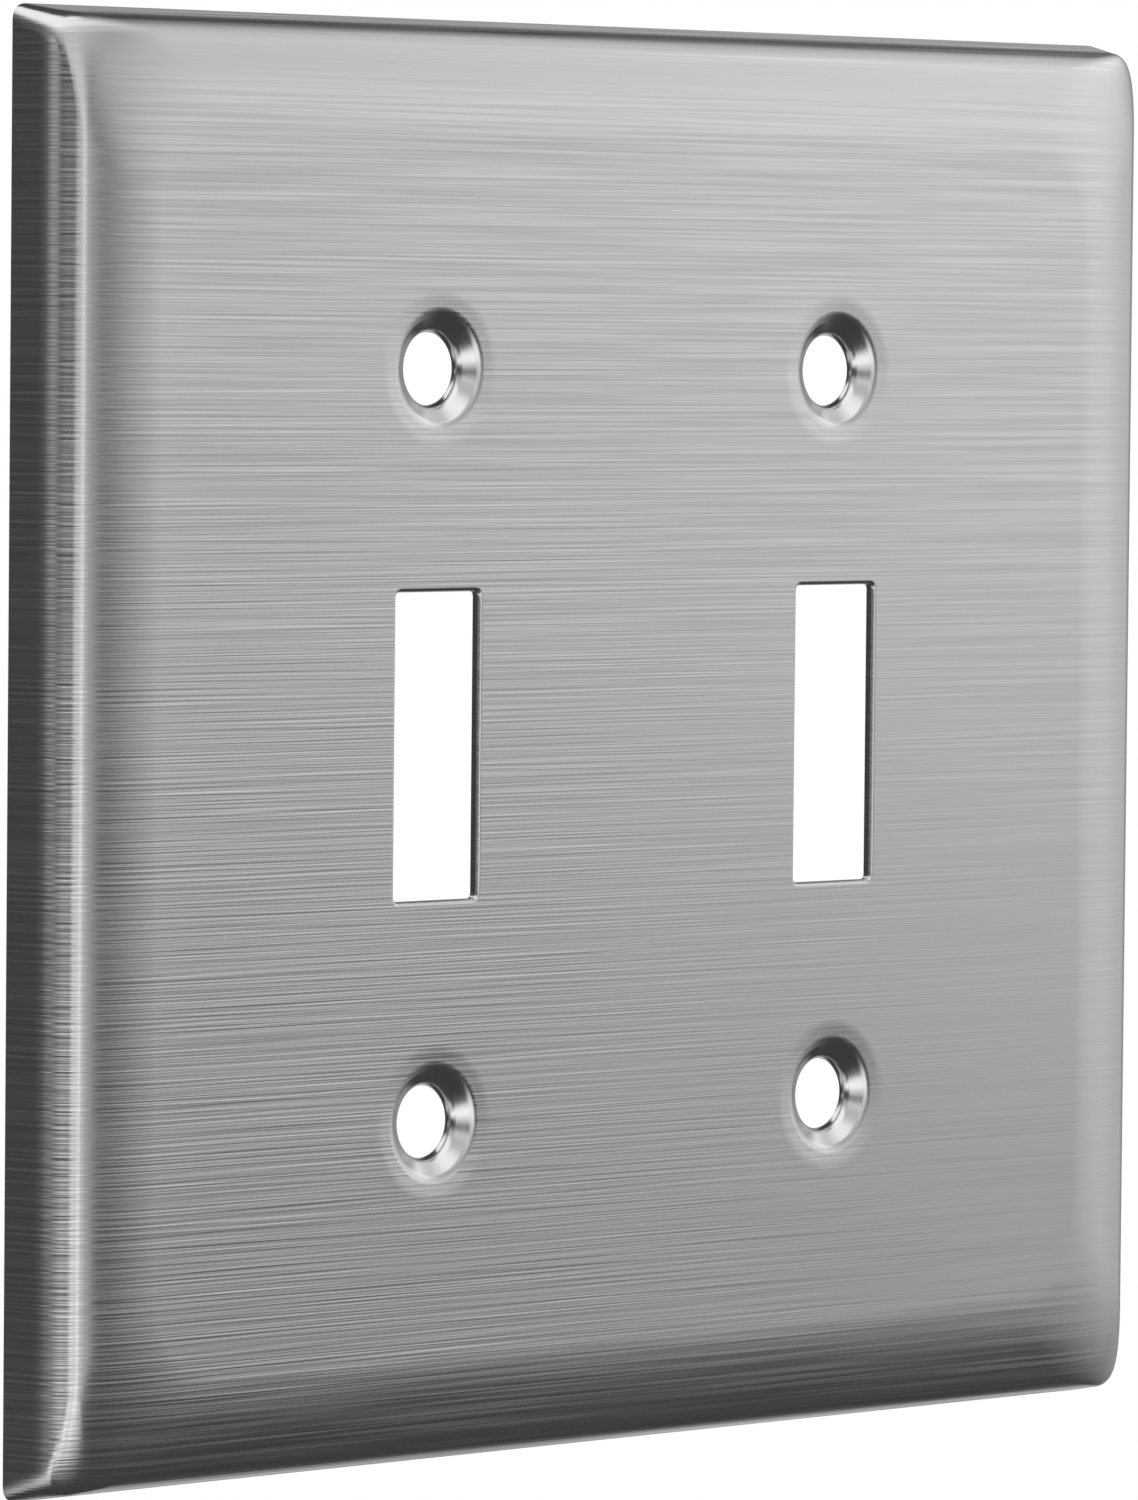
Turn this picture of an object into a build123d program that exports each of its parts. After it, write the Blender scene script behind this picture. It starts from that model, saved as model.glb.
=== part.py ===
from build123d import *
import os
from math import atan, cos, radians, sin, tan

# Two-gang toggle switch wall plate, pressed from one sheet of stainless steel.
# Frame: X right, Y into the wall, Z up. The wall is the plane Y = 0, the plate
# stands in front of it (Y below 0) and its centre is on the Y axis. Millimetres.

# Outline and sheet
plate_width = 125.4
plate_height = 116.5
plate_depth = 7.0
sheet_thickness = 0.85

# Formed rim: a side wall that leans in from the wall, a tight bend, then a
# shallow crown that eases into the flat face
wall_draft = 10.0
bend_radius = 2.45
crown_tilt = 15.0
crown_radius = 27.0

# Corner radius in plan at each level of the rim
corner_at_wall = 1.65
corner_at_bend = 2.2
corner_at_crown = 6.8

# Device spacing: gangs side by side, one screw above and one below each toggle
gang_spacing = 46.0375
screw_spacing = 60.325

# Toggle slots
slot_width = 9.2
slot_height = 24.7
slot_corner = 0.4
slot_edge_round = 0.35

# Pressed dimples that seat oval-head fixing screws
hole_radius = 2.92
cone_top_radius = 4.55
cone_foot_radius = 3.21
cone_depth = 0.9
lip_round = 0.6
dip_radius = 6.0
dip_depth = 0.07
hole_edge_round = 0.65
dimple_back_depth = 1.78

# Worked out from the sizes above
bend_end = 90 - crown_tilt
crown_drop = crown_radius * (1 - cos(radians(crown_tilt)))
bend_centre_depth = crown_drop + bend_radius * cos(radians(crown_tilt))
wall_top_depth = bend_centre_depth - bend_radius * sin(radians(wall_draft))
wall_inset = (plate_depth - wall_top_depth) * tan(radians(wall_draft))
bend_inset = wall_inset + bend_radius * (cos(radians(wall_draft)) - cos(radians(bend_end)))
cone_run = cone_top_radius - cone_foot_radius
cone_angle = atan(cone_depth / cone_run)
hole_edge_depth = dip_depth + (cone_top_radius - hole_radius) * cone_depth / cone_run
back_cone_radius = cone_top_radius + sheet_thickness * tan(cone_angle / 2)
back_ring_radius = back_cone_radius - (dimple_back_depth - sheet_thickness) * cone_run / cone_depth

screw_places = [
    (across * gang_spacing / 2, up * screw_spacing / 2)
    for across in (-1, 1)
    for up in (-1, 1)
]
slot_places = [(-gang_spacing / 2, 0), (gang_spacing / 2, 0)]


def corner_radius(turn):
    """Corner radius in plan: it grows smoothly over the bend, then stays the same."""
    share = min((turn - wall_draft) / (bend_end - wall_draft), 1)
    return corner_at_bend + (corner_at_crown - corner_at_bend) * share**2 * (3 - 2 * share)


def rim_level(turn, skin):
    """Inset, depth behind the face and corner radius of one level of the rim.

    turn is the slope of the sheet in degrees: 0 would stand square off the wall,
    the side wall is at wall_draft and the face at 90.
    skin is 0 for the outside of the metal and the thickness for its inside.
    """
    if turn <= bend_end:
        inset = wall_inset + bend_radius * (cos(radians(wall_draft)) - cos(radians(turn)))
        depth = bend_centre_depth - bend_radius * sin(radians(turn))
    else:
        tilt = radians(90 - turn)
        inset = bend_inset + crown_radius * (sin(radians(crown_tilt)) - sin(tilt))
        depth = crown_radius * (1 - cos(tilt))
    across = skin * cos(radians(turn))
    inward = skin * sin(radians(turn))
    return inset + across, depth + inward, corner_radius(turn) - across


def wall_foot(skin):
    """The back edge of the side wall, where the plate meets the wall."""
    across = skin / cos(radians(wall_draft))
    return across, plate_depth, corner_at_wall - across


def wall_levels(skin):
    return [wall_foot(skin), rim_level(wall_draft, skin)]


def bend_levels(skin):
    return [rim_level(wall_draft + (bend_end - wall_draft) * step / 6, skin) for step in range(7)]


def crown_levels(skin):
    return [rim_level(bend_end + crown_tilt * step / 4, skin) for step in range(5)]


def at_depth(depth):
    """A plane parallel to the wall, this far behind the front face."""
    return Plane.XZ.offset(plate_depth - depth)


def beside_screw(place):
    """The plane of a dimple's profile: X out from the screw axis, Y behind the face."""
    return Plane(origin=(place[0], -plate_depth, place[1]), x_dir=(1, 0, 0), z_dir=(0, 0, 1))


def screw_axis(place):
    return Axis((place[0], 0, place[1]), (0, 1, 0))


# The hollow behind the sheet

with BuildPart() as hollow:
    for inset, depth, radius in wall_levels(sheet_thickness):
        with BuildSketch(at_depth(depth)):
            RectangleRounded(plate_width - 2 * inset, plate_height - 2 * inset, radius)
    loft(ruled=True)
    for inset, depth, radius in bend_levels(sheet_thickness):
        with BuildSketch(at_depth(depth)):
            RectangleRounded(plate_width - 2 * inset, plate_height - 2 * inset, radius)
    loft()
    for inset, depth, radius in crown_levels(sheet_thickness):
        with BuildSketch(at_depth(depth)):
            RectangleRounded(plate_width - 2 * inset, plate_height - 2 * inset, radius)
    loft()


# The plate: a solid form, hollowed to one thickness, then dimpled and slotted

with BuildPart() as cover_plate:
    # Side wall, bend and crown
    for inset, depth, radius in wall_levels(0):
        with BuildSketch(at_depth(depth)):
            RectangleRounded(plate_width - 2 * inset, plate_height - 2 * inset, radius)
    loft(ruled=True)
    for inset, depth, radius in bend_levels(0):
        with BuildSketch(at_depth(depth)):
            RectangleRounded(plate_width - 2 * inset, plate_height - 2 * inset, radius)
    loft()
    for inset, depth, radius in crown_levels(0):
        with BuildSketch(at_depth(depth)):
            RectangleRounded(plate_width - 2 * inset, plate_height - 2 * inset, radius)
    loft()
    add(hollow.part, mode=Mode.SUBTRACT)

    # Metal pushed back behind each screw hole
    for place in screw_places:
        with BuildSketch(beside_screw(place)):
            Polygon(
                (0, sheet_thickness / 2),
                (back_cone_radius + 1, sheet_thickness / 2),
                (back_cone_radius + 1, sheet_thickness),
                (back_cone_radius, sheet_thickness),
                (back_ring_radius, dimple_back_depth),
                (0, dimple_back_depth),
                align=None,
            )
        revolve(axis=screw_axis(place))

    # Front of each dimple: shallow dip, rounded lip, cone, rounded edge and screw hole
    for place in screw_places:
        with BuildSketch(beside_screw(place)) as dimple_void:
            Polygon(
                (0, -1),
                (dip_radius, -1),
                (dip_radius, 0),
                (cone_top_radius, dip_depth),
                (hole_radius, hole_edge_depth),
                (hole_radius, dimple_back_depth + 1),
                (0, dimple_back_depth + 1),
                align=None,
            )
            lip = dimple_void.vertices().sort_by_distance((cone_top_radius, dip_depth))[0]
            fillet(lip, lip_round)
            rim = dimple_void.vertices().sort_by_distance((hole_radius, hole_edge_depth))[0]
            fillet(rim, hole_edge_round)
        revolve(axis=screw_axis(place), mode=Mode.SUBTRACT)

    # Toggle slots, with the front edges rounded by the punch
    with BuildSketch(at_depth(0)):
        with Locations(*slot_places):
            RectangleRounded(slot_width, slot_height, slot_corner)
    extrude(amount=-sheet_thickness * 2, mode=Mode.SUBTRACT)
    slot_front_edges = (
        cover_plate.edges()
        .filter_by_position(Axis.Y, -plate_depth - 0.01, -plate_depth + 0.01)
        .filter_by_position(Axis.Z, -slot_height / 2 - 0.01, slot_height / 2 + 0.01)
    )
    fillet(slot_front_edges, slot_edge_round)

cover_plate.part.label = "cover_plate"
os.makedirs("parts", exist_ok=True)
export_step(cover_plate.part, "parts/cover_plate.step")
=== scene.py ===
import math

import bmesh
import bpy
import numpy as np
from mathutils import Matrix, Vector


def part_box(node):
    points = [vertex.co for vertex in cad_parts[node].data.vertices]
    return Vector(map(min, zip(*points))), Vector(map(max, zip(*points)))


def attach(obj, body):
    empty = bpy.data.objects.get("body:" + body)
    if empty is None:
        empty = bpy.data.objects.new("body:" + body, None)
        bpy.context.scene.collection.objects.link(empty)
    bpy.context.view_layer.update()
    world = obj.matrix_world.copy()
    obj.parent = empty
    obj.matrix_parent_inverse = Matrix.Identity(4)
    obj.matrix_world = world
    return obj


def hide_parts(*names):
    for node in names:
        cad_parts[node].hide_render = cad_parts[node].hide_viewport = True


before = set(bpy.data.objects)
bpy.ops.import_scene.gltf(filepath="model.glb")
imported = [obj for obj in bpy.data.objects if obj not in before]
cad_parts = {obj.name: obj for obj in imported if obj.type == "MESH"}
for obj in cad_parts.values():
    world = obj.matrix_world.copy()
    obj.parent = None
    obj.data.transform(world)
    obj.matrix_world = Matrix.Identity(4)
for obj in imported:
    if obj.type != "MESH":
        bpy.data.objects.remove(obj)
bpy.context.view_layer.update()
low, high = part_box("cover_plate")

# A two-gang toggle switch wall plate in brushed stainless steel, as one mesh that is finer
# than the solid. Metres. The wall is the plane y = 0, and the plate stands in front of it.
# Insets are measured in from the outline, and depths back from the front face.
MM = 0.001

# Outline and sheet
WIDTH = high.x - low.x
HEIGHT = high.z - low.z
DEPTH = high.y - low.y
FACE = low.y
SHEET = 0.85 * MM
EDGE = 0.05 * MM                # the small break on sharp cut edges
TO_FRONT = np.array([0.0, -1.0, 0.0])

# The formed rim: a side wall that leans in, a tight bend, and a shallow crown that eases
# into the flat face. Its angles and radii are the solid's.
DRAFT = math.radians(10)        # how far the side wall leans in
TILT = math.radians(15)         # how steep the crown is where it meets the bend
BEND_END = math.pi / 2 - TILT
BEND_RADIUS = 2.45 * MM
CROWN_RADIUS = 27 * MM
BEND_CENTRE = CROWN_RADIUS * (1 - math.cos(TILT)) + BEND_RADIUS * math.cos(TILT)
WALL_INSET = (DEPTH - BEND_CENTRE + BEND_RADIUS * math.sin(DRAFT)) * math.tan(DRAFT)
BEND_INSET = WALL_INSET + BEND_RADIUS * (math.cos(DRAFT) - math.sin(TILT))
WALL_EASE = math.radians(40)    # how gently the shading turns from the wall into the bend

# Corner radii in plan. The solid's is 1.65 mm at the wall, and the others are the same.
CORNER_AT_WALL = 1.2 * MM
CORNER_AT_BEND = 2.2 * MM
CORNER_AT_CROWN = 6.8 * MM
CORNER_POWER = 2.6              # 2 would be a plain arc, and more eases out of the sides
# How far a corner reaches along the sides, in radii: its middle stays where an arc's would be
CORNER_REACH = (1 - 0.5 ** (1 / 2)) / (1 - 0.5 ** (1 / CORNER_POWER))

# Rows of faces up the rim, and the rows of points where its stretches meet
EDGE_ROWS, WALL_ROWS, BEND_ROWS, CROWN_ROWS = 4, 6, 24, 20
WALL_FOOT = EDGE_ROWS
WALL_TOP = WALL_FOOT + WALL_ROWS
BEND_TOP = WALL_TOP + BEND_ROWS
MID_WALL = WALL_FOOT + 2        # clear of both ends of the wall

GANG_SPACING = 46.0375 * MM
SCREW_SPACING = 60.325 * MM

# Toggle slots, with the front edge rounded by the punch
SLOT_WIDTH = 9.2 * MM
SLOT_HEIGHT = 24.7 * MM
SLOT_CORNER = 0.4 * MM
SLOT_ROUND = 0.35 * MM
SLOT_STEPS = 8                  # steps round each edge of the profile
SLOT_BRUSHED = 3                # the brushing runs this many steps over the front edge

# Dimples: a shallow dip, then a cone down to the screw hole. The lip and the hole's edge are
# rounder than on the solid, where they are 0.6 and 0.65 mm, and the dip starts more softly.
HOLE_RADIUS = 2.92 * MM
CONE_TOP = 4.55 * MM
CONE_RUN = 1.34 * MM
CONE_DEPTH = 0.9 * MM
DIP_RADIUS = 6.0 * MM
DIP_DEPTH = 0.07 * MM
DIP_ROUND = 16 * MM
LIP_ROUND = 1.6 * MM
HOLE_ROUND = 1.0 * MM
BACK_DEPTH = 1.78 * MM          # how far the metal pushed out behind reaches
BACK_RING_ROUND = 0.12 * MM
BACK_CONE_ROUND = 0.25 * MM
BRUSHED_LIP = 0.1 * MM          # the brushing stops this far outside the cone
PRESSED_EDGE = 0.45 * MM        # the ironed steel goes this far past the foot of the cone
DIMPLE_STEPS = 12               # steps round each corner of the profile
DIMPLE_TURNS = 128

FLAT_RUN = 1.0 * MM             # gives a profile its direction where it leaves the flat sheet


def placed(name, data):
    """A new object in the scene."""
    thing = bpy.data.objects.new(name, data)
    bpy.context.scene.collection.objects.link(thing)
    return thing


# ---- shape ----

def unit(vectors):
    return vectors / np.linalg.norm(vectors, axis=-1, keepdims=True)


def left_of(direction):
    return np.array([-direction[1], direction[0]])


def spin_by(angle):
    return np.array([[math.cos(angle), -math.sin(angle)], [math.sin(angle), math.cos(angle)]])


def at_depth(flat, depth):
    """Points given in plan, (x, z), set this far behind the front face."""
    return np.column_stack([flat[:, 0], np.full(len(flat), FACE + depth), flat[:, 1]])


def outline(half_x, half_z, radius, arc=28, side=30):
    """Points round a rectangle with eased corners, with the direction each one faces in plan.

    arc and side are the number of steps round each corner and along each side.
    """
    reach = radius * CORNER_REACH
    quarter_turn = np.array([[0, -1], [1, 0]])
    signs = ((1, 1), (-1, 1), (-1, -1), (1, -1))
    centres = [np.array([sx * (half_x - reach), sz * (half_z - reach)]) for sx, sz in signs]
    points, facing = [], []
    for k, centre in enumerate(centres):
        spin = np.linalg.matrix_power(quarter_turn, k)
        for i in range(arc + 1):
            angle = math.pi / 2 * i / arc
            across, up = abs(math.cos(angle)), math.sin(angle)
            place = np.array([across, up]) ** (2 / CORNER_POWER)
            out = np.array([across, up]) ** (2 - 2 / CORNER_POWER)
            points.append(centre + reach * spin @ place)
            facing.append(spin @ unit(out))
        start = points[-1]
        end = centres[(k + 1) % len(centres)] + reach * facing[-1]
        for i in range(1, side):
            points.append(start + (end - start) * i / side)
            facing.append(facing[-1])
    return np.array(points), np.array(facing)


def rounded_path(corners, steps):
    """Points round the corners of a profile, with the normals on its left.

    A corner is (x, y, radius). The first and the last only give the profile its direction.
    """
    points, normals = [], []
    for before, corner, after in zip(corners, corners[1:], corners[2:]):
        here, radius = np.array(corner[:2]), corner[2]
        arriving = unit(here - np.array(before[:2]))
        leaving = unit(np.array(after[:2]) - here)
        turn = math.atan2(left_of(arriving) @ leaving, arriving @ leaving)
        start = here - arriving * radius * math.tan(abs(turn) / 2)
        to_centre = math.copysign(radius, turn) * left_of(arriving)
        for i in range(steps + 1):
            spin = spin_by(turn * i / steps)
            points.append(start + to_centre - spin @ to_centre)
            normals.append(spin @ left_of(arriving))
    return np.array(points), np.array(normals)


class Skin:
    """The mesh as it grows: points with normals and sheet coordinates, and faces with a finish."""

    def __init__(self):
        self.at, self.normal, self.sheet = [], [], []
        self.faces, self.finish = [], []

    def loop(self, at, normal, sheet):
        """Adds a closed row of points, and gives their numbers."""
        first = len(self.at)
        self.at.extend(at)
        self.normal.extend(normal)
        self.sheet.extend(sheet)
        return list(range(first, len(self.at)))

    def bridge(self, a, b, finish):
        """Joins two rows of as many points with a band of faces."""
        for i in range(len(a)):
            j = (i + 1) % len(a)
            self.faces.append((a[i], a[j], b[j], b[i]))
            self.finish.append(finish)

    def fill(self, loops, toward, finish):
        """The flat sheet between its outline and its holes, facing along y by the sign of toward."""
        bm = bmesh.new()
        edges = []
        for loop in loops:
            verts = [bm.verts.new(self.at[index]) for index in loop]
            edges += [bm.edges.new(pair) for pair in zip(verts, verts[1:] + verts[:1])]
        bm.verts.index_update()
        done = bmesh.ops.triangle_fill(bm, use_beauty=True, use_dissolve=False, edges=edges)
        order = [index for loop in loops for index in loop]
        for face in done["geom"]:
            if not isinstance(face, bmesh.types.BMFace):
                continue
            face.normal_update()
            corners = [order[vert.index] for vert in face.verts]
            if face.normal.y * toward < 0:
                corners.reverse()
            self.faces.append(tuple(corners))
            self.finish.append(finish)
        bm.free()


BRUSHED, PRESSED, CUT, MILL = range(4)
skin = Skin()


def rim_level(turn, thick):
    """Inset, depth and corner radius of the rim where the sheet has turned by this angle.

    It has turned by DRAFT on the side wall and by a quarter turn on the face. thick is 0 for
    the outside of the metal, and its thickness for the inside.
    """
    if turn <= BEND_END:
        inset = WALL_INSET + BEND_RADIUS * (math.cos(DRAFT) - math.cos(turn))
        depth = BEND_CENTRE - BEND_RADIUS * math.sin(turn)
    else:
        slope = math.pi / 2 - turn
        inset = BEND_INSET + CROWN_RADIUS * (math.sin(TILT) - math.sin(slope))
        depth = CROWN_RADIUS * (1 - math.cos(slope))
    share = min((turn - DRAFT) / (BEND_END - DRAFT), 1)
    radius = CORNER_AT_BEND + (CORNER_AT_CROWN - CORNER_AT_BEND) * share ** 2 * (3 - 2 * share)
    across = thick * math.cos(turn)
    return inset + across, depth + thick * math.sin(turn), radius - across


def rim_levels(inner):
    """Inset, depth and corner radius of each row of points, from the foot up to the flat face."""
    thick = SHEET if inner else 0.0
    across = thick / math.cos(DRAFT)
    foot = np.array([across, DEPTH, CORNER_AT_WALL - across])
    top = np.array(rim_level(DRAFT, thick))
    above = foot + (top - foot) * EDGE / (DEPTH - top[1])
    into_metal = -1 if inner else 1
    levels = []
    for i in range(EDGE_ROWS):
        angle = math.pi / 2 * i / EDGE_ROWS
        shift = into_metal * EDGE * (1 - math.sin(angle))
        levels.append((above[0] + shift, DEPTH - EDGE * (1 - math.cos(angle)), above[2] - shift))
    levels.append(above)
    for i in range(1, WALL_ROWS + 1):
        levels.append(foot + (top - foot) * i / WALL_ROWS)
    for i in range(1, BEND_ROWS + 1):
        levels.append(rim_level(DRAFT + (BEND_END - DRAFT) * i / BEND_ROWS, thick))
    for i in range(1, CROWN_ROWS + 1):
        levels.append(rim_level(BEND_END + TILT * i / CROWN_ROWS, thick))
    return np.array(levels)


def rim_normals(grid, facing, travel):
    """Normals of the rim's outside; travel is each row's way up the sheet from the foot."""
    along = np.column_stack([-facing[:, 1], np.zeros(len(facing)), facing[:, 0]])
    climb = np.gradient(grid, travel, axis=0)
    normal = unit(np.cross(along[None, :, :], climb))
    normal[-1] = TO_FRONT
    # the side wall keeps one direction, apart from where it eases into the bend
    normal[WALL_FOOT:WALL_TOP] = normal[MID_WALL].copy()
    for row in range(WALL_FOOT, BEND_TOP):
        past = (travel[row] - travel[WALL_TOP]) / BEND_RADIUS
        if abs(past) < WALL_EASE:
            lean = (past + WALL_EASE) ** 2 / (4 * WALL_EASE) - max(past, 0)
            square = TO_FRONT - (normal[row] @ TO_FRONT)[:, None] * normal[row]
            normal[row] = unit(normal[row] + lean * unit(square))
    return normal


def rim(inner):
    """One side of the rim; gives its rows of points at the foot and at the flat face."""
    levels = rim_levels(inner)
    rows = [outline(WIDTH / 2 - inset, HEIGHT / 2 - inset, radius) for inset, depth, radius in levels]
    facing = rows[0][1]
    grid = np.array([at_depth(points, level[1]) for (points, _), level in zip(rows, levels)])
    steps = np.linalg.norm(np.diff(levels[:, :2], axis=0), axis=1)
    travel = np.concatenate([[0.0], np.cumsum(steps)])
    normal = rim_normals(grid, facing, travel)
    if inner:
        normal = -normal
    normal[0] = -TO_FRONT
    # unrolled square off each side, so that the brushing runs straight on over the rim
    unrolled = (travel[-1] - travel) - (levels[-1, 0] - levels[:, 0])
    loops = []
    for row, (points, _) in enumerate(rows):
        loops.append(skin.loop(grid[row], normal[row], points + facing * unrolled[row]))
    for row in range(len(loops) - 1):
        finish = CUT if row < EDGE_ROWS else (MILL if inner else BRUSHED)
        pair = (loops[row + 1], loops[row]) if inner else (loops[row], loops[row + 1])
        skin.bridge(*pair, finish)
    return loops[0], loops[-1]


def sweep(points, normals, plan, finish):
    """Carries a profile of (reach, depth) round a hole; gives its first and last rows of points.

    plan gives the loop at a reach, and finish that of the band after a step of the profile.
    """
    loops = []
    for (reach, depth), (outward, inward) in zip(points, normals):
        flat, facing = plan(reach)
        lean = facing * outward
        normal = np.column_stack([lean[:, 0], np.full(len(flat), inward), lean[:, 1]])
        loops.append(skin.loop(at_depth(flat, depth), normal, flat))
    for k in range(len(loops) - 1):
        skin.bridge(loops[k], loops[k + 1], finish(k))
    return loops[0], loops[-1]


def dimple(centre):
    hole_edge = DIP_DEPTH + (CONE_TOP - HOLE_RADIUS) * CONE_DEPTH / CONE_RUN
    back_cone = CONE_TOP + SHEET * math.tan(math.atan(CONE_DEPTH / CONE_RUN) / 2)
    back_ring = back_cone - (BACK_DEPTH - SHEET) * CONE_RUN / CONE_DEPTH
    points, normals = rounded_path([
        (DIP_RADIUS + FLAT_RUN, 0),
        (DIP_RADIUS, 0, DIP_ROUND),
        (CONE_TOP, DIP_DEPTH, LIP_ROUND),
        (HOLE_RADIUS, hole_edge, HOLE_ROUND),
        (HOLE_RADIUS, BACK_DEPTH, EDGE),
        (back_ring, BACK_DEPTH, BACK_RING_ROUND),
        (back_cone, SHEET, BACK_CONE_ROUND),
        (back_cone + FLAT_RUN, SHEET),
    ], DIMPLE_STEPS)
    first_back = 3 * (DIMPLE_STEPS + 1)     # after the front's three rounded corners
    angle = np.arange(DIMPLE_TURNS) * 2 * math.pi / DIMPLE_TURNS
    out = np.column_stack([np.cos(angle), np.sin(angle)])

    def circle(radius):
        return centre + out * radius, out

    def finish(k):
        radius, depth = points[k]
        if k >= first_back:
            return MILL
        if radius > CONE_TOP + BRUSHED_LIP:
            return BRUSHED
        return PRESSED if depth < hole_edge + PRESSED_EDGE else CUT

    return sweep(points, normals, circle, finish)


def slot(centre):
    points, normals = rounded_path([
        (FLAT_RUN, 0),
        (0, 0, SLOT_ROUND),
        (0, SHEET, EDGE),
        (FLAT_RUN, SHEET),
    ], SLOT_STEPS)

    def opening(out):
        half_x, half_z = SLOT_WIDTH / 2 + out, SLOT_HEIGHT / 2 + out
        flat, facing = outline(half_x, half_z, SLOT_CORNER + out, arc=8, side=12)
        return centre + flat, facing

    def finish(k):
        return BRUSHED if k < SLOT_BRUSHED else CUT

    return sweep(points, normals, opening, finish)


outer_foot, outer_face = rim(inner=False)
inner_foot, inner_face = rim(inner=True)
skin.bridge(inner_foot, outer_foot, CUT)

front_loops, rear_loops = [outer_face], [inner_face]
for side in (-1, 1):
    holes = [dimple(np.array([side * GANG_SPACING / 2, up * SCREW_SPACING / 2])) for up in (-1, 1)]
    holes.append(slot(np.array([side * GANG_SPACING / 2, 0.0])))
    for at_front, at_rear in holes:
        front_loops.append(at_front)
        rear_loops.append(at_rear)
skin.fill(front_loops, -1, BRUSHED)
skin.fill(rear_loops, 1, MILL)

mesh = bpy.data.meshes.new("plate_shell")
mesh.from_pydata([tuple(map(float, point)) for point in skin.at], [], skin.faces)
mesh.validate()
plate = placed("plate_shell", mesh)
for polygon, finish in zip(mesh.polygons, skin.finish):
    polygon.material_index = finish
    polygon.use_smooth = True

# sheet coordinates in metres, across the brushing and then along it
layer = mesh.uv_layers.new(name="sheet")
for corner in mesh.loops:
    x, z = skin.sheet[corner.vertex_index]
    layer.data[corner.index].uv = (z, x)
mesh.normals_split_custom_set_from_vertices([tuple(map(float, normal)) for normal in skin.normal])


# ---- materials ----

MIDDLE = (0.35, 0.65)           # most of a noise lies between these


class Nodes:
    """A short way to add and join the nodes of a material or a world."""

    def __init__(self, owner):
        self.owner = owner
        owner.use_nodes = True
        self.tree = owner.node_tree
        self.tree.nodes.clear()

    def add(self, kind, **settings):
        node = self.tree.nodes.new(kind)
        for key, value in settings.items():
            setattr(node, key, value)
        return node

    def join(self, output, socket):
        self.tree.links.new(output, socket)

    def show(self, shader, output="ShaderNodeOutputMaterial"):
        self.join(shader.outputs[0], self.add(output).inputs["Surface"])

    def math(self, operation, a, b=0.0):
        """A step of arithmetic on numbers or on other nodes' outputs."""
        node = self.add("ShaderNodeMath", operation=operation)
        for value, socket in zip((a, b), node.inputs):
            if isinstance(value, (int, float)):
                socket.default_value = value
            else:
                self.join(value, socket)
        return node.outputs[0]

    def plus(self, a, b):
        return self.math("ADD", a, b)

    def times(self, a, b):
        return self.math("MULTIPLY", a, b)

    def blend(self, value, start, end):
        """Goes from start to end as the value goes from 0 to 1."""
        return self.plus(self.times(value, end - start), start)

    def mix(self, a, b, share):
        """a with this share of b in it."""
        return self.plus(self.times(a, 1 - share), self.times(b, share))

    def rise(self, value, start, end, shape="SMOOTHSTEP"):
        """0 up to start and 1 from end on; falls instead where end is the smaller."""
        node = self.add("ShaderNodeMapRange", interpolation_type=shape)
        self.join(value, node.inputs["Value"])
        node.inputs["From Min"].default_value = start
        node.inputs["From Max"].default_value = end
        return node.outputs[0]

    def split(self, vector):
        node = self.add("ShaderNodeSeparateXYZ")
        self.join(vector, node.inputs[0])
        return node.outputs

    def noise(self, vector, per_metre, detail, roughness):
        """Grains, with about this many to a metre along each axis."""
        stretch = self.add("ShaderNodeMapping")
        stretch.inputs["Scale"].default_value = per_metre
        self.join(vector, stretch.inputs["Vector"])
        node = self.add("ShaderNodeTexNoise")
        node.inputs["Scale"].default_value = 1.0
        node.inputs["Detail"].default_value = detail
        node.inputs["Roughness"].default_value = roughness
        self.join(stretch.outputs[0], node.inputs["Vector"])
        return node.outputs["Fac"]

    def ramp(self, value, dark, pale, start=0.3, end=0.7):
        """Goes from a dark colour to a pale one as the value goes from start to end."""
        node = self.add("ShaderNodeValToRGB")
        for mark, place, colour in zip(node.color_ramp.elements, (start, end), (dark, pale)):
            mark.position = place
            mark.color = (*colour, 1)
        self.join(value, node.inputs[0])
        return node.outputs[0]

    def relief(self, height, strength, depth):
        """A normal as if the surface stood out by this depth where the height is 1."""
        node = self.add("ShaderNodeBump")
        node.inputs["Strength"].default_value = strength
        node.inputs["Distance"].default_value = depth
        self.join(height, node.inputs["Height"])
        return node.outputs[0]


def steel(name):
    """The start of a bare stainless steel: its nodes, and the sockets of its metal."""
    nodes = Nodes(bpy.data.materials.new(name))
    metal = nodes.add("ShaderNodeBsdfPrincipled")
    nodes.show(metal)
    metal.inputs["Metallic"].default_value = 1.0
    return nodes, metal.inputs


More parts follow.
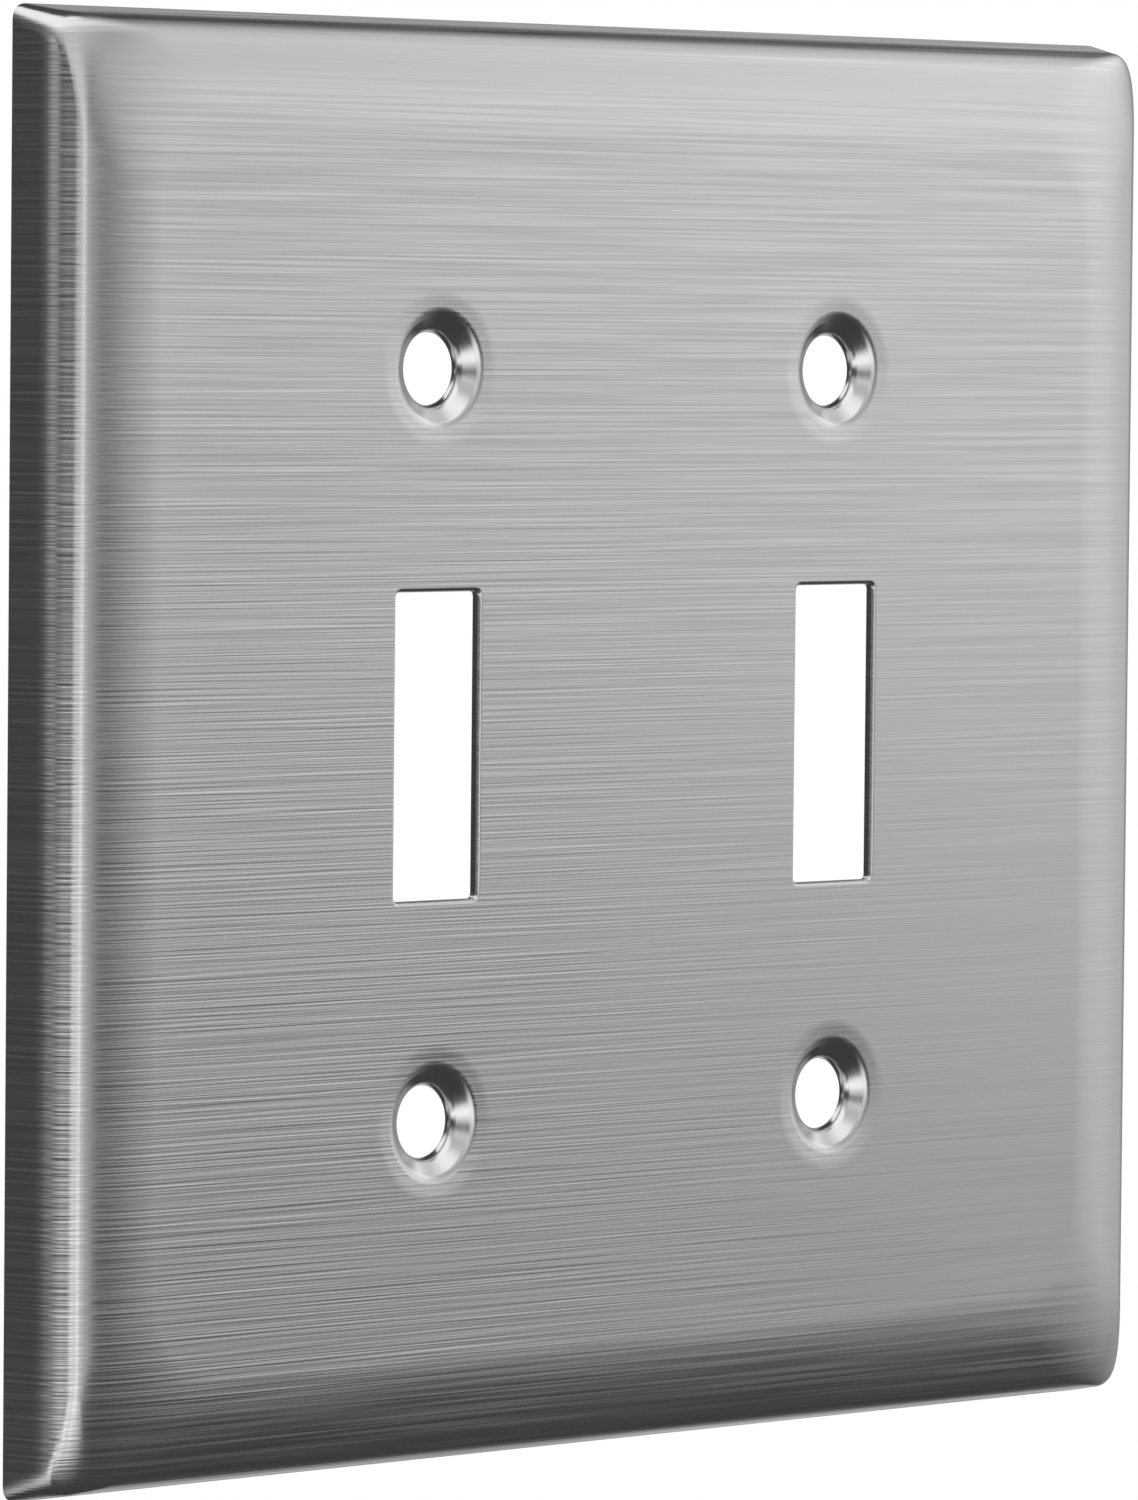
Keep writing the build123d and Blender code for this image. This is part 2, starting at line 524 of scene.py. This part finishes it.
def brushed_steel():
    """Face and rim: long fine scratches along the sheet."""
    nodes, metal = steel("brushed_steel")
    metal["Anisotropic"].default_value = 0.8
    tangent = nodes.add("ShaderNodeTangent", direction_type="UV_MAP", uv_map="sheet")
    nodes.join(tangent.outputs[0], metal["Tangent"])
    where = nodes.add("ShaderNodeUVMap", uv_map="sheet").outputs[0]
    fine = nodes.noise(where, (4500, 36, 1), detail=1.0, roughness=0.5)
    coarse = nodes.noise(where, (1500, 16, 1), detail=1.0, roughness=0.5)
    streak = nodes.rise(nodes.mix(fine, coarse, 0.25), *MIDDLE, "LINEAR")
    dark, pale = (0.61, 0.608, 0.604), (0.63, 0.628, 0.625)
    nodes.join(nodes.ramp(streak, dark, pale, start=0.0, end=1.0), metal["Base Color"])
    # they bite less and less towards the right, and somewhat less towards the top
    up, across, _ = nodes.split(where)
    bite = nodes.blend(nodes.rise(across, 60 * MM, -50 * MM), 0.1, 1.0)
    bite_low = nodes.blend(nodes.rise(up, 55 * MM, -10 * MM), 0.4, 1.0)
    height = nodes.times(streak, nodes.times(bite, bite_low))
    nodes.join(nodes.relief(height, strength=0.5, depth=0.02 * MM), metal["Normal"])
    # each scratch is smoother or duller than the next, over broad cloudy changes
    dull = nodes.noise(where, (4000, 32, 1), detail=1.0, roughness=0.5)
    dull = nodes.blend(nodes.rise(dull, *MIDDLE, "LINEAR"), 0.13, 0.26)
    broad = nodes.noise(where, (60, 18, 1), detail=2.0, roughness=0.5)
    nodes.join(nodes.plus(dull, nodes.times(broad, 0.03)), metal["Roughness"])
    return nodes.owner


def pressed_steel():
    """Inside the dimples: the punch has ironed the scratches out and left faint rings."""
    nodes, metal = steel("pressed_steel")
    where = nodes.add("ShaderNodeTexCoord").outputs["Object"]
    cloud = nodes.noise(where, (900, 900, 900), detail=3.0, roughness=0.6)
    x, _, z = nodes.split(where)
    across = nodes.math("SUBTRACT", nodes.math("ABSOLUTE", x), GANG_SPACING / 2)
    up = nodes.math("SUBTRACT", nodes.math("ABSOLUTE", z), SCREW_SPACING / 2)
    radius = nodes.math("SQRT", nodes.plus(nodes.times(across, across), nodes.times(up, up)))
    circle = nodes.add("ShaderNodeCombineXYZ")
    nodes.join(radius, circle.inputs["X"])
    rings = nodes.noise(circle.outputs[0], (3500, 1, 1), detail=2.0, roughness=0.6)
    marks = nodes.mix(cloud, rings, 0.6)
    nodes.join(nodes.ramp(marks, (0.60, 0.598, 0.594), (0.66, 0.658, 0.655)), metal["Base Color"])
    nodes.join(nodes.blend(marks, 0.14, 0.28), metal["Roughness"])
    nodes.join(nodes.relief(marks, strength=0.35, depth=0.02 * MM), metal["Normal"])
    return nodes.owner


def cut_steel():
    """Punched edges: torn through the thickness of the sheet."""
    nodes, metal = steel("cut_steel")
    where = nodes.add("ShaderNodeTexCoord").outputs["Object"]
    tear = nodes.noise(where, (2600, 300, 2600), detail=3.0, roughness=0.6)
    nodes.join(nodes.ramp(tear, (0.50, 0.498, 0.495), (0.62, 0.618, 0.615)), metal["Base Color"])
    nodes.join(nodes.blend(tear, 0.2, 0.35), metal["Roughness"])
    nodes.join(nodes.relief(tear, strength=0.4, depth=0.03 * MM), metal["Normal"])
    return nodes.owner


def mill_steel():
    """The back keeps the mill finish: dull and cloudy, with faint rolling lines."""
    nodes, metal = steel("mill_steel")
    where = nodes.add("ShaderNodeTexCoord").outputs["Object"]
    cloud = nodes.noise(where, (140, 140, 140), detail=4.0, roughness=0.6)
    rolling = nodes.noise(where, (50, 300, 1500), detail=2.0, roughness=0.5)
    mixed = nodes.mix(cloud, rolling, 0.45)
    nodes.join(nodes.ramp(mixed, (0.50, 0.498, 0.492), (0.60, 0.598, 0.592)), metal["Base Color"])
    nodes.join(nodes.blend(mixed, 0.26, 0.44), metal["Roughness"])
    nodes.join(nodes.relief(mixed, strength=0.25, depth=0.03 * MM), metal["Normal"])
    return nodes.owner


# in the order of BRUSHED, PRESSED, CUT and MILL
for material in (brushed_steel(), pressed_steel(), cut_steel(), mill_steel()):
    mesh.materials.append(material)
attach(plate, "root")
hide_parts("cover_plate")


# ---- stage ----

FLOOR_RADIUS = 0.75
FLOOR_DROP = 0.10           # how far the floor lies below the plate
FLOOR_SIDES = 96
TENT_RADIUS = 4.0
WORLD_FILL = 0.7            # strength of the even light from all round; 1 is white

# A plain pale floor
floor_mesh = bpy.data.meshes.new("floor")
ring = []
for i in range(FLOOR_SIDES):
    turn = 2 * math.pi * i / FLOOR_SIDES
    ring.append((FLOOR_RADIUS * math.cos(turn), FLOOR_RADIUS * math.sin(turn), low.z - FLOOR_DROP))
floor_mesh.from_pydata(ring, [], [tuple(range(FLOOR_SIDES))])
floor = placed("floor", floor_mesh)
nodes = Nodes(bpy.data.materials.new("floor"))
paint = nodes.add("ShaderNodeBsdfDiffuse")
paint.inputs["Color"].default_value = (0.85, 0.85, 0.85, 1)
nodes.show(paint)
floor_mesh.materials.append(nodes.owner)
floor.visible_glossy = False

# A soft lamp high on the left gives the floor its shadow; the tent is what the metal mirrors
lamp_light = bpy.data.lights.new("soft_lamp", "AREA")
lamp_light.size = 0.8
lamp_light.energy = 8.0
lamp = placed("soft_lamp", lamp_light)
lamp.location = (-0.5, -0.9, 1.5)
lamp.rotation_euler = (-lamp.location).to_track_quat("-Z", "Y").to_euler()
lamp.visible_glossy = False
lamp.visible_camera = False

# A tent of grey cloth round the plate, which only its reflections see
bm = bmesh.new()
bmesh.ops.create_uvsphere(bm, u_segments=48, v_segments=24, radius=TENT_RADIUS)
tent_mesh = bpy.data.meshes.new("tent")
bm.to_mesh(tent_mesh)
bm.free()
tent = placed("tent", tent_mesh)
for kind in ("camera", "diffuse", "shadow", "transmission", "volume_scatter"):
    setattr(tent, "visible_" + kind, False)

# Soft boxes and bright cloths in it. Each has where it starts, where it ends and how soft its
# edges are, in degrees round from straight in front of the plate, positive to the right, then
# the same in degrees up, and last its strength.
GREY = 0.065
PATCHES = (
    ((16, 60, 30), (-2, 16, 9), 0.5),        # strip on the right at plate height
    ((34, 88, 38), (-8, 30, 13), 0.49),      # cloth on the right
    ((51, 70, 14), (-18, 30, 12), 0.19),     # a paler fold in it
    ((35, 105, 20), (-17, -12, 4), 0.04),    # its dim hem
    ((45, 95, 36), (20, 52, 20), 0.75),      # its upper half
    ((-14, 9, 16), (-12, 18, 5), 0.72),      # box straight in front
    ((-31, -14, 20), (-12, 0, 4), 0.9),      # it parts in two on the left, below
    ((-31, -14, 20), (9, 18, 4), 0.8),       # and above
    ((-80, 0, 50), (-25, -10, 10), 1.5),     # low cloth, front left
    ((-120, -50, 30), (-50, -25, 20), 0.8),  # its far end, near the floor
    ((-5, 15, 5), (-22, -3, 16), 0.6),       # narrow box in front, below plate height
    ((68, 128, 30), (-28, 30, 24), 0.28),    # far right
    ((125, 160, 15), (5, 22, 16), 0.4),      # behind on the right
    ((110, 160, 15), (-45, -20, 12), 0.5),   # and low behind
    ((-107, -86, 22), (2, 12, 5), 0.8),      # thin strip behind on the left
    ((-95, 45, 40), (36, 90, 10), 1.3),      # overhead
    ((-95, 30, 40), (16, 36, 10), 0.6),      # its skirt
    ((-200, -95, 40), (35, 90, 20), 1.3),    # overhead, behind
)


def band(nodes, value, start, end, soft):
    """1 between two angles and 0 outside them, with soft edges of this width."""
    rising = nodes.rise(value, start - soft / 2, start + soft / 2)
    falling = nodes.rise(value, end + soft / 2, end - soft / 2)
    return nodes.times(rising, falling)


def tent_cloth():
    nodes = Nodes(bpy.data.materials.new("tent"))
    glow = nodes.add("ShaderNodeEmission")
    nodes.show(glow)
    x, y, z = nodes.split(nodes.add("ShaderNodeTexCoord").outputs["Object"])
    degrees_round = nodes.math("DEGREES", nodes.math("ARCTAN2", x, nodes.times(y, -1.0)))
    degrees_up = nodes.math("DEGREES", nodes.math("ARCSINE", nodes.math("DIVIDE", z, TENT_RADIUS)))
    level = GREY
    for across, up, strength in PATCHES:
        patch = nodes.times(band(nodes, degrees_round, *across), band(nodes, degrees_up, *up))
        level = nodes.plus(nodes.times(patch, strength), level)
    nodes.join(level, glow.inputs["Strength"])
    return nodes.owner


tent_mesh.materials.append(tent_cloth())

# The world is plain white to the camera and through glass, and a softer fill to the rest.
# To mirrors it is white too, but the tent stands in front of it.
world = bpy.data.worlds.new("world")
bpy.context.scene.world = world
nodes = Nodes(world)
path = nodes.add("ShaderNodeLightPath").outputs
seen = nodes.math("MAXIMUM", path["Is Camera Ray"], path["Is Glossy Ray"])
seen = nodes.math("MAXIMUM", seen, path["Is Transmission Ray"])
choice = nodes.add("ShaderNodeMixShader")
nodes.join(seen, choice.inputs[0])
for strength, socket in ((WORLD_FILL, choice.inputs[1]), (1.0, choice.inputs[2])):
    light = nodes.add("ShaderNodeBackground")
    light.inputs["Color"].default_value = (1, 1, 1, 1)
    light.inputs["Strength"].default_value = strength
    nodes.join(light.outputs[0], socket)
nodes.show(choice, "ShaderNodeOutputWorld")


# ---- camera ----

HEADING = math.radians(44.93)
PITCH = math.radians(-2.523)
ROLL = math.radians(0.531)
LENS = 231.82                       # both in millimetres
SENSOR = 36
AIM = Vector((-4.12 * MM, FACE + 4.05 * MM, -0.9 * MM))
DISTANCE = 788.24 * MM

level_view = Vector((math.sin(HEADING), math.cos(HEADING), 0)) * math.cos(PITCH)
view = level_view + Vector((0, 0, math.sin(PITCH)))
camera_data = bpy.data.cameras.new("camera")
camera_data.lens = LENS
camera_data.sensor_width = SENSOR
camera_data.sensor_fit = "AUTO"
camera_data.clip_start = 0.01
camera = placed("camera", camera_data)
camera.location = AIM - view * DISTANCE
aim_turn = view.to_track_quat("-Z", "Y").to_euler()
aim_turn.rotate_axis("Z", ROLL)
camera.rotation_euler = aim_turn
bpy.context.scene.camera = camera
bpy.context.scene.view_settings.view_transform = "Standard"
